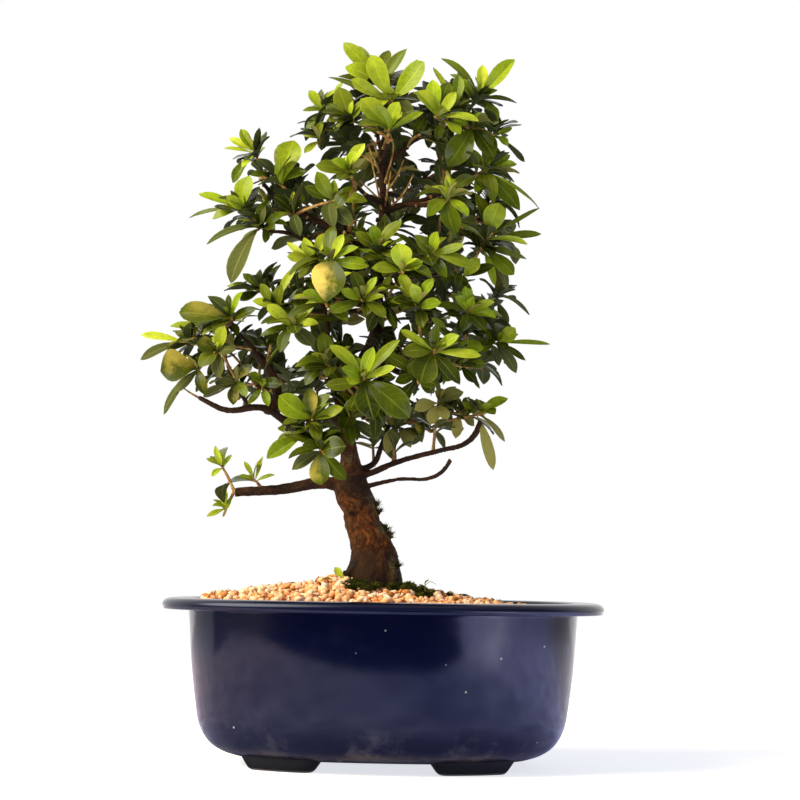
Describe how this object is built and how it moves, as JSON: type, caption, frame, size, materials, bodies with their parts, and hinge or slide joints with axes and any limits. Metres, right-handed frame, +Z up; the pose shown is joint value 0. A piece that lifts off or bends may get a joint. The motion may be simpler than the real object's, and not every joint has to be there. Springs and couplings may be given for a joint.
{
  "type": "kobai satsuki azalea bonsai in an oval pot",
  "caption": "Azalea bonsai with a leaning trunk, boughs and rosettes of small oval leaves, standing in granular soil in a glossy navy oval pot on low feet.",
  "frame": {"origin": "at floor level, under the middle of the whole tree and pot", "axes": "+Z up along the trunk, +X along the pot's length to the right as seen from its front, +Y towards its back"},
  "size_m": [0.2674, 0.1892, 0.416],
  "materials": {
    "navy_plastic": "gloss, lightly scuffed near the foot",
    "black_plastic": "matte",
    "soil_granules": "matte, porous",
    "bark": "matte, flaking",
    "young_leaf": "satin",
    "mature_leaf": "glossy above, dull below"
  },
  "bodies": {
    "root": {"back_crown_a_spray": "mature_leaf", "back_crown_b_spray": "mature_leaf", "back_crown_c_spray": "mature_leaf", "back_crown_d_spray": "mature_leaf", "back_left_pad_a_spray": "mature_leaf", "back_left_pad_b_spray": "mature_leaf", "back_low_a_spray": "mature_leaf", "back_low_b_spray": "mature_leaf", "back_mid_left_a_spray": "mature_leaf", "back_mid_left_b_spray": "mature_leaf", "back_mid_right_a_spray": "mature_leaf", "back_right_a_spray": "mature_leaf", "back_right_b_spray": "mature_leaf", "back_upper_left_a_spray": "mature_leaf", "back_upper_left_b_spray": "mature_leaf", "back_upper_right_a_spray": "mature_leaf", "back_upper_right_b_spray": "mature_leaf", "centre_bright_spray": "mature_leaf", "centre_front_spray": "young_leaf", "centre_low_spray": "mature_leaf", "crown_front_spray": "mature_leaf", "crown_left_spray": "mature_leaf", "crown_peak_spray": "mature_leaf", "crown_right_spray": "young_leaf", "drain_screen_left": "black_plastic", "drain_screen_right": "black_plastic", "left_pad_back_spray": "mature_leaf", "left_pad_end_spray": "mature_leaf", "left_pad_front_spray": "mature_leaf", "left_pad_top_spray": "mature_leaf", "light_left_spray": "young_leaf", "low_left_crown_spray": "mature_leaf", "low_right_end_spray": "mature_leaf", "low_right_inner_spray": "mature_leaf", "low_right_spray": "mature_leaf", "mid_left_low_spray": "mature_leaf", "mid_left_top_spray": "young_leaf", "mid_right_front_spray": "mature_leaf", "pot": "navy_plastic", "right_front_spray": "mature_leaf", "right_hang_spray": "mature_leaf", "right_mid_spray": "mature_leaf", "right_mid_top_spray": "mature_leaf", "right_pad_end_spray": "mature_leaf", "right_upper_pad_spray": "young_leaf", "shoot_a_spray": "young_leaf", "shoot_b_spray": "young_leaf", "shoot_c_spray": "young_leaf", "soil": "soil_granules", "top_right_spray": "mature_leaf", "trunk_and_boughs": "bark", "trunk_front_upper_spray": "mature_leaf", "trunk_side_spray": "mature_leaf", "upper_left_low_spray": "mature_leaf", "upper_left_mid_spray": "mature_leaf", "upper_left_tip_spray": "mature_leaf"}
  },
  "joints": []
}
